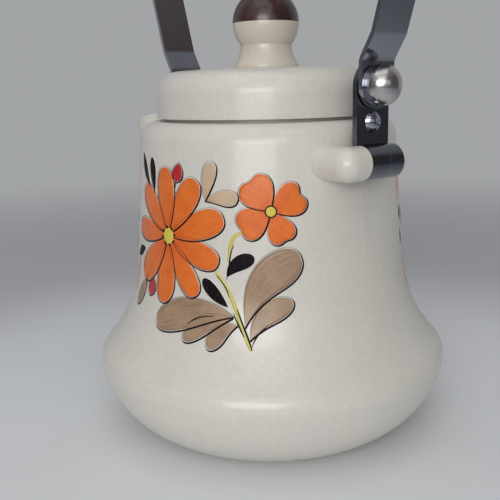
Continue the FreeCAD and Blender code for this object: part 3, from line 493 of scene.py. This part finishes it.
def ink_piece(name, shapes, lift, material, centre):
    """One printed colour: every shape of that colour as a thin patch on the wall."""
    corners, faces, marks = [], [], []
    count = 0
    for flat, mark in shapes:
        rows, columns = flat.shape[:2]
        corners.append(onto_wall(flat[..., 0], flat[..., 1], lift, centre).reshape(-1, 3))
        marks.append(mark.reshape(-1, 2))
        index = np.arange(rows * columns).reshape(rows, columns) + count
        quad = np.stack([index[:-1, :-1], index[1:, :-1], index[1:, 1:], index[:-1, 1:]], -1).reshape(-1, 4)
        faces.append(quad)
        count += rows * columns
    corners, faces, marks = np.concatenate(corners), np.concatenate(faces), np.concatenate(marks)
    first, second, third, fourth = (corners[faces[:, turn]] for turn in range(4))
    facing = np.cross(second - first, fourth - first) + np.cross(fourth - third, second - third)
    inward = np.einsum("ij,ij->i", facing[:, :2], first[:, :2]) < 0
    faces[inward] = faces[inward][:, ::-1]
    mesh = bpy.data.meshes.new(name)
    mesh.from_pydata(corners.tolist(), [], faces.tolist())
    layer = mesh.uv_layers.new(name="stroke")
    layer.data.foreach_set("uv", marks[faces.ravel()].astype(np.float32).ravel())
    mesh.polygons.foreach_set("use_smooth", np.ones(len(faces), bool))
    close_seams(mesh)
    mesh.materials.append(material)
    piece = bpy.data.objects.new(name, mesh)
    bpy.context.scene.collection.objects.link(piece)
    skin = piece.modifiers.new("ink_thickness", "SOLIDIFY")
    skin.thickness = lift + INK_ROOT
    skin.offset = -1.0
    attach(piece, "kettle")
    return piece


def toward(centre, degrees, length):
    """The point that lies length away from the centre in that direction."""
    return (
        centre[0] + length * math.cos(math.radians(degrees)),
        centre[1] + length * math.sin(math.radians(degrees)),
    )


# Flat layout of one transfer, in millimetres: (across, height above the table)
DAISY = (-22.0, 112.1)
DAISY_PETALS = [
    # direction, length, half width
    (97, 33.0, 6.3),
    (58.5, 32.6, 6.4),
    (19, 33.4, 6.7),
    (-20, 30.8, 6.0),
    (-57, 32.0, 5.7),
    (-95, 33.0, 6.3),
    (-134, 33.0, 6.6),
    (178, 30.5, 5.6),
    (137, 32.5, 6.0),
]
BLOSSOM = (31.9, 126.1)
BLOSSOM_PETALS = [
    # direction, length, half spread, notch
    (125, 18.2, 47, 0.08),
    (29, 17.4, 46, 0.12),
    (-150, 17.0, 45, 0.06),
    (-64, 15.8, 41, 0.06),
]

TAN_LEAVES = [
    Leaf((20.3, 73.0), (45.0, 104.5), 8.4, bend=(-9.5, 8.0), early=1.15, late=0.45),
    Leaf((22.6, 67.5), (41.0, 83.5), 4.9, bend=(-5.0, 5.5), early=1.0, late=0.5),
    Leaf((14.5, 77.3), (-26.0, 69.5), 7.3, bend=(2.0, 9.0), early=1.0, late=0.45),
    Leaf((14.0, 76.6), (-7.5, 64.6), 4.2, bend=(-3.0, 5.0), early=0.9, late=0.5),
    Leaf((16.6, 73.6), (5.6, 62.4), 3.6, bend=(-4.0, 4.0), early=0.9, late=0.5),
    Leaf((-41.5, 87.0), (-48.0, 73.0), 3.2, bend=(-1.5, 1.0), early=0.9, late=0.6),
]
PALE_LEAVES = [
    Leaf((0.6, 130.6), (3.8, 148.2), 3.4, bend=(-1.0, 0.0), early=1.0, late=0.42),
    Leaf((0.9, 130.6), (16.4, 131.2), 3.4, bend=(0.0, 2.6), early=1.0, late=0.42),
]
BLACK_LEAVES = [
    Leaf((11.4, 95.6), (24.2, 104.6), 3.6, bend=(-3.0, 3.2), early=0.9, late=0.45),
    Leaf((12.0, 81.6), (-0.4, 94.0), 3.0, bend=(-0.5, -1.0), early=0.9, late=0.5),
    Leaf((-38.6, 134.0), (-50.0, 150.6), 2.6, bend=(-2.0, -1.0), early=1.1, late=0.7),
    Leaf((-34.2, 131.0), (-38.2, 149.0), 2.9, bend=(0.4, 0.0), early=1.2, late=0.6),
    Leaf((-44.5, 102.6), (-56.8, 97.0), 2.6, bend=(0.0, 1.0), early=0.9, late=0.8),
    Leaf((-63.0, 121.0), (-63.4, 112.4), 2.2, early=0.9, late=0.9),
    Leaf((-63.6, 108.6), (-64.0, 99.6), 1.6, early=0.9, late=0.9),
]
RED_BUDS = [
    Leaf((-17.0, 138.6), (-15.4, 147.2), 3.4, early=0.7, late=0.9),
    Leaf((-34.2, 88.8), (-36.2, 80.4), 3.3, early=0.8, late=0.7),
]
SALMON_LEAVES = [
    Leaf((-64.0, 147.0), (-64.6, 123.0), 1.8, bend=(-0.8, 0.0), early=0.8, late=0.8),
    Leaf((-53.4, 100.0), (-58.0, 77.0), 2.4, bend=(-1.0, 0.0), early=0.8, late=0.8),
]
STEM_BENDS = [
    ([(19.6, 116.8), (14.8, 114.2), (13.0, 109.6), (12.2, 103.0)], 1.9),
    ([(4.4, 99.4), (9.2, 94.4), (12.9, 87.4), (15.3, 81.1), (17.9, 74.9), (21.0, 68.0), (22.9, 63.4)], 2.0),
]
INK_LINES = [
    ([(14.6, 110.8), (12.9, 105.0), (12.4, 100.4), (11.2, 94.6)], 0.7),
    ([(6.2, 96.0), (10.4, 91.2), (12.2, 86.4)], 0.6),
    ([(16.2, 81.0), (18.6, 75.0), (21.6, 68.0), (23.2, 63.2)], 0.8),
    ([(14.6, 79.0), (17.6, 72.8), (19.8, 68.8)], 0.7),
    ([(23.2, 64.6), (25.4, 69.4), (29.8, 74.0)], 0.6),
    ([(-17.8, 134.6), (-17.4, 137.0), (-17.0, 139.4)], 0.6),
    ([(5.6, 77.0), (-2.0, 75.4), (-7.4, 71.6)], 0.6),
    ([(-39.4, 90.6), (-41.4, 88.2), (-42.6, 84.0)], 0.5),
]


def print_transfer(side, centre):
    """One set of flowers, a colour at a time, from the pale backing up to the dark lines."""
    daisy = [
        Leaf(toward(DAISY, way, 2.0), toward(DAISY, way, length), half, early=0.85, late=0.42)
        for way, length, half in DAISY_PETALS
    ]
    blossom = [HeartPetal(BLOSSOM, *sizes) for sizes in BLOSSOM_PETALS]
    flowers = daisy + blossom
    outlined = flowers + TAN_LEAVES + PALE_LEAVES + RED_BUDS
    seeds = [toward(DAISY, 12 + 45 * step, 4.3) for step in range(8)]
    # name, shapes, lift off the wall in millimetres, ink
    layers = [
        ("backing", [leaf.grown(0.5).fill() for leaf in outlined + BLACK_LEAVES], 0.05, INK_BACKING),
        ("salmon_leaves", [leaf.fill() for leaf in SALMON_LEAVES], 0.06, INK_SALMON),
        ("tan_leaves", [leaf.fill() for leaf in TAN_LEAVES], 0.06, INK_TAN),
        ("pale_leaves", [leaf.fill() for leaf in PALE_LEAVES], 0.06, INK_PALE_TAN),
        ("stems", [brush_line(points, pen, 0.35) for points, pen in STEM_BENDS], 0.07, INK_STEM),
        ("red_buds", [leaf.fill() for leaf in RED_BUDS], 0.07, INK_RED),
        ("orange_petals", [leaf.fill() for leaf in flowers], 0.08, INK_ORANGE),
        ("black_leaves", [leaf.fill() for leaf in BLACK_LEAVES], 0.08, INK_BLACK),
        (
            "ink_lines",
            [pen_round(leaf.grown(0.55).edge(), 0.85) for leaf in outlined]
            + [brush_line(points, pen) for points, pen in INK_LINES]
            + [loop_line(BLOSSOM, 2.6, 0.6)],
            0.095,
            INK_BLACK,
        ),
        ("flower_hearts", [disc(DAISY, 3.7, 1.1), disc(BLOSSOM, 2.3)], 0.11, INK_YELLOW),
        ("seeds", [disc(spot, 0.75) for spot in seeds], 0.125, INK_BLACK),
    ]
    for name, shapes, lift, material in layers:
        ink_piece(side + "_" + name, shapes, lift * MM, material, centre)


INK_BACKING = printed_ink("ink_backing", colour(220, 216, 207), colour(226, 222, 215))
INK_ORANGE = printed_ink("ink_orange", colour(221, 104, 38), colour(236, 124, 48), rim=colour(214, 88, 34))
INK_TAN = printed_ink("ink_tan", colour(146, 120, 98), colour(176, 148, 120), rim=colour(186, 158, 130))
INK_PALE_TAN = printed_ink(
    "ink_pale_tan", colour(196, 170, 140), colour(212, 188, 160), rim=colour(184, 156, 128)
)
INK_BLACK = printed_ink("ink_black", colour(18, 12, 15), colour(28, 19, 22), roughness=0.5, gloss=0.08)
INK_RED = printed_ink("ink_red", colour(170, 34, 42), colour(196, 54, 56))
INK_YELLOW = printed_ink("ink_yellow", colour(208, 188, 58), colour(226, 208, 92))
INK_STEM = printed_ink("ink_stem", colour(200, 188, 88), colour(220, 210, 124))
INK_SALMON = printed_ink("ink_salmon", colour(214, 134, 110), colour(226, 152, 128))

for side, centre in PRINT_CENTRES.items():
    print_transfer(side, centre)


# ---------------------------------------------------------------- studio


VIEW_LENS = 51.84
VIEW_DISTANCE = 392.2 * MM
VIEW_HEIGHT = 181.3 * MM
VIEW_SIDE = math.radians(39.6)
VIEW_PAN = math.radians(-1.607)
VIEW_TILT = math.radians(12.724)
VIEW_ROLL = math.radians(-1.348)


def set_camera():
    """Stand the camera off the kettle's axis, look down a little and roll slightly."""
    camera = bpy.data.objects.new("view", bpy.data.cameras.new("view"))
    camera.data.lens = VIEW_LENS
    camera.data.clip_start = 0.01
    heading = VIEW_SIDE + VIEW_PAN
    level = math.cos(VIEW_TILT)
    ahead = Vector((-math.cos(heading) * level, math.sin(heading) * level, -math.sin(VIEW_TILT)))
    right = Vector((math.sin(heading), math.cos(heading), 0.0))
    up = right.cross(ahead)
    rolled_right = right * math.cos(VIEW_ROLL) + up * math.sin(VIEW_ROLL)
    rolled_up = up * math.cos(VIEW_ROLL) - right * math.sin(VIEW_ROLL)
    turn = Matrix((rolled_right, rolled_up, -ahead)).transposed().to_4x4()
    spot = (VIEW_DISTANCE * math.cos(VIEW_SIDE), -VIEW_DISTANCE * math.sin(VIEW_SIDE), VIEW_HEIGHT)
    camera.matrix_world = Matrix.Translation(spot) @ turn
    bpy.context.scene.collection.objects.link(camera)
    bpy.context.scene.camera = camera


FLOOR_REACH = 1.6
FLOOR_SPOKES = 64
FLOOR_RINGS = 9


def set_floor():
    """A round table top as rings of faces, under the kettle: spokes at even angles, rings at even
    distances from the middle."""
    angles = np.linspace(0, 2 * math.pi, FLOOR_SPOKES + 1)[:-1]
    turn, ring = np.meshgrid(angles, np.linspace(MM, FLOOR_REACH, FLOOR_RINGS), indexing="ij")
    corners = np.stack([ring * np.cos(turn), ring * np.sin(turn), ring * 0.0], -1).reshape(-1, 3)
    index = np.arange(FLOOR_SPOKES * FLOOR_RINGS).reshape(FLOOR_SPOKES, FLOOR_RINGS)
    following = np.roll(index, -1, axis=0)
    quads = np.stack([index[:, :-1], index[:, 1:], following[:, 1:], following[:, :-1]], -1).reshape(-1, 4)
    mesh = bpy.data.meshes.new("table_top")
    mesh.from_pydata(corners.tolist(), [], quads.tolist())
    mesh.materials.append(plain_floor())
    floor = bpy.data.objects.new("table_top", mesh)
    bpy.context.scene.collection.objects.link(floor)


def softbox(name, spot, aim, width, height, power):
    """A rectangular soft light at a spot, turned to face the aim point."""
    light = bpy.data.lights.new(name, "AREA")
    light.shape = "RECTANGLE"
    light.size = width
    light.size_y = height
    light.energy = power
    lamp = bpy.data.objects.new(name, light)
    lamp.location = spot
    lamp.rotation_euler = (Vector(aim) - Vector(spot)).to_track_quat("-Z", "Y").to_euler()
    bpy.context.scene.collection.objects.link(lamp)


def set_walls():
    """The studio around: a pale grey wall behind the kettle and a grey ceiling; the rest of the
    room is dim, brown above the level of the table, for the chrome to mirror."""
    world = bpy.data.worlds.new("studio")
    bpy.context.scene.world = world
    air = Shader(world)
    look = air.node("ShaderNodeTexCoord", {}, {}, "Generated")

    def toward_way(way, low, high):
        """0 to 1 as the look direction turns from low to high along that way."""
        along = air.node("ShaderNodeVectorMath", {"operation": "DOT_PRODUCT"}, [look, way], "Value")
        return air.steps(along, low, high)

    room = air.mix(toward_way((0.0, 0.0, 1.0), 0.05, 0.35), DIM_ROOM, BROWN_ROOM)
    lidded = air.mix(toward_way((0.0, 0.0, 1.0), 0.45, 0.8), room, CEILING)
    backdrop = air.mix(toward_way((0.0, 0.0, -1.0), 0.12, 0.3), BACK_WALL, LOW_WALL)
    walled = air.mix(toward_way((-0.788, 0.616, 0.0), 0.0, 0.3), lidded, backdrop)
    air.feed(air.tree.nodes["Background"].inputs["Color"], walled)


DIM_ROOM = colour(90, 91, 96)
BROWN_ROOM = colour(92, 82, 76)
CEILING = colour(128, 128, 130)
BACK_WALL = colour(162, 164, 166)
LOW_WALL = colour(144, 145, 147)

bpy.context.scene.view_settings.view_transform = "Standard"
set_camera()
set_floor()
set_walls()
softbox("top_softbox", (0.15, -0.15, 1.25), (0.0, 0.0, 0.0), 1.1, 1.1, 3.2)
softbox("front_softbox", (0.85, -0.75, 0.75), (0.0, 0.0, 0.1), 0.9, 0.9, 2.6)
softbox("level_softbox", (0.7, -0.85, 0.38), (0.0, 0.0, 0.1), 0.7, 0.5, 4.4)
softbox("left_softbox", (0.0, -1.0, 0.95), (0.0, 0.0, 0.1), 0.9, 0.9, 0.7)
softbox("right_softbox", (1.1, -0.3, 0.4), (0.0, 0.0, 0.1), 0.7, 0.5, 0.5)
